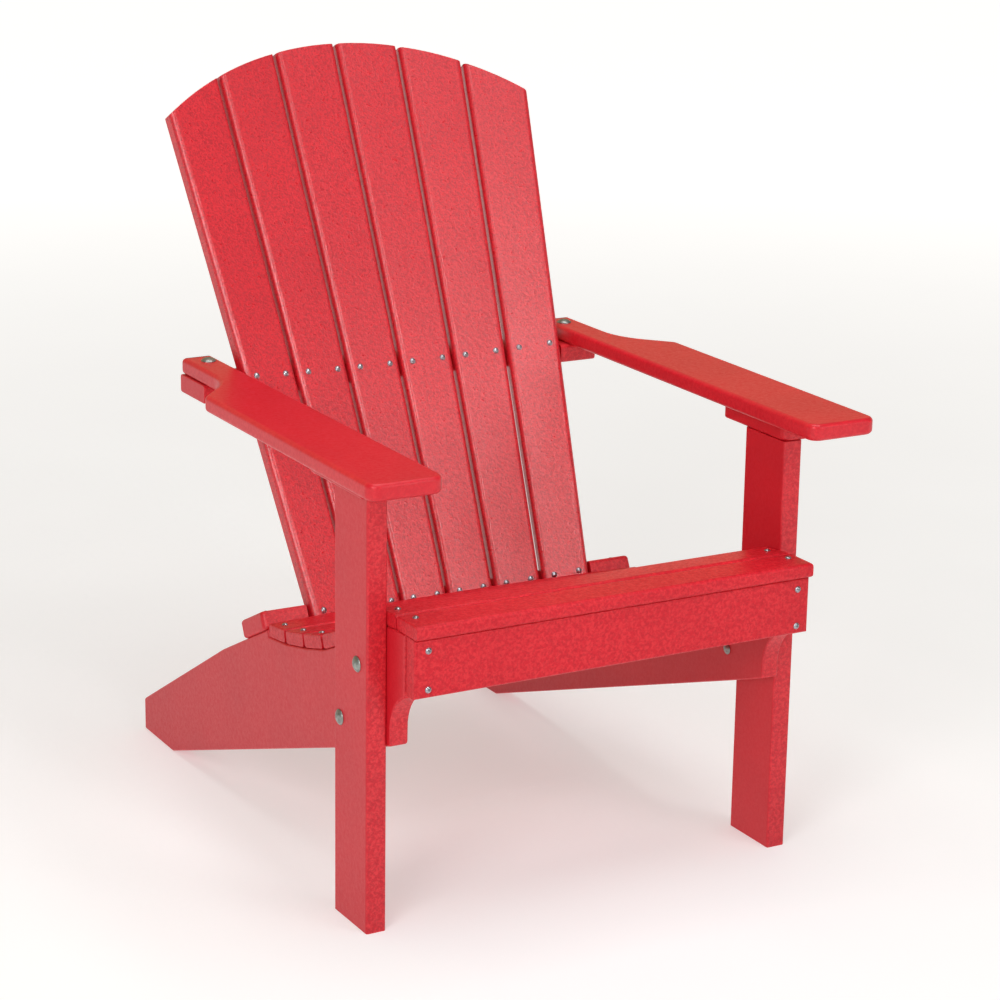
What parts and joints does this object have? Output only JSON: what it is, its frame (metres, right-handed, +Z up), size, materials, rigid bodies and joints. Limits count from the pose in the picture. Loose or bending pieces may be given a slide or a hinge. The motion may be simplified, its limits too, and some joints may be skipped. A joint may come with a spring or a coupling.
{
  "type": "adirondack chair",
  "caption": "Low outdoor armchair of flat composite boards, with a reclined fanned slat back, a dipped slat seat and wide level arms.",
  "frame": {"origin": "on the floor, under the middle of the chair's outline", "axes": "+Z up, -Y towards the front of the chair, +X towards the sitter's left"},
  "size_m": [0.714, 0.887, 0.9955],
  "materials": {
    "back_board": "mottled red composite lumber, satin",
    "seat_board": "mottled red composite lumber, satin",
    "frame_board": "mottled red composite lumber, satin",
    "arm_board": "mottled red composite lumber, smooth top",
    "galvanised": "galvanised steel",
    "stainless": "stainless steel"
  },
  "bodies": {
    "root": {"left_front_leg": "frame_board", "right_front_leg": "frame_board", "left_stringer": "frame_board", "right_stringer": "frame_board", "left_arm_support": "frame_board", "right_arm_support": "frame_board", "upper_back_brace": "frame_board", "lower_back_rail": "frame_board", "left_armrest": "arm_board", "right_armrest": "arm_board", "front_apron": "seat_board", "back_slat_1": "back_board", "back_slat_2": "back_board", "back_slat_3": "back_board", "back_slat_4": "back_board", "back_slat_5": "back_board", "back_slat_6": "back_board", "seat_slat_1": "seat_board", "seat_slat_2": "seat_board", "seat_slat_3": "seat_board", "seat_slat_4": "seat_board", "seat_slat_5": "seat_board", "seat_slat_6": "seat_board", "seat_slat_7": "seat_board", "seat_slat_8": "seat_board", "leg_bolts": "galvanised", "leg_bolt_nuts": "galvanised", "arm_bolts": "galvanised", "arm_bolt_nuts": "galvanised", "upper_back_screws": "stainless", "lower_back_screws": "stainless", "rail_screws": "stainless", "seat_screws": "stainless", "apron_screws": "stainless", "arm_support_screws": "stainless"}
  },
  "joints": []
}
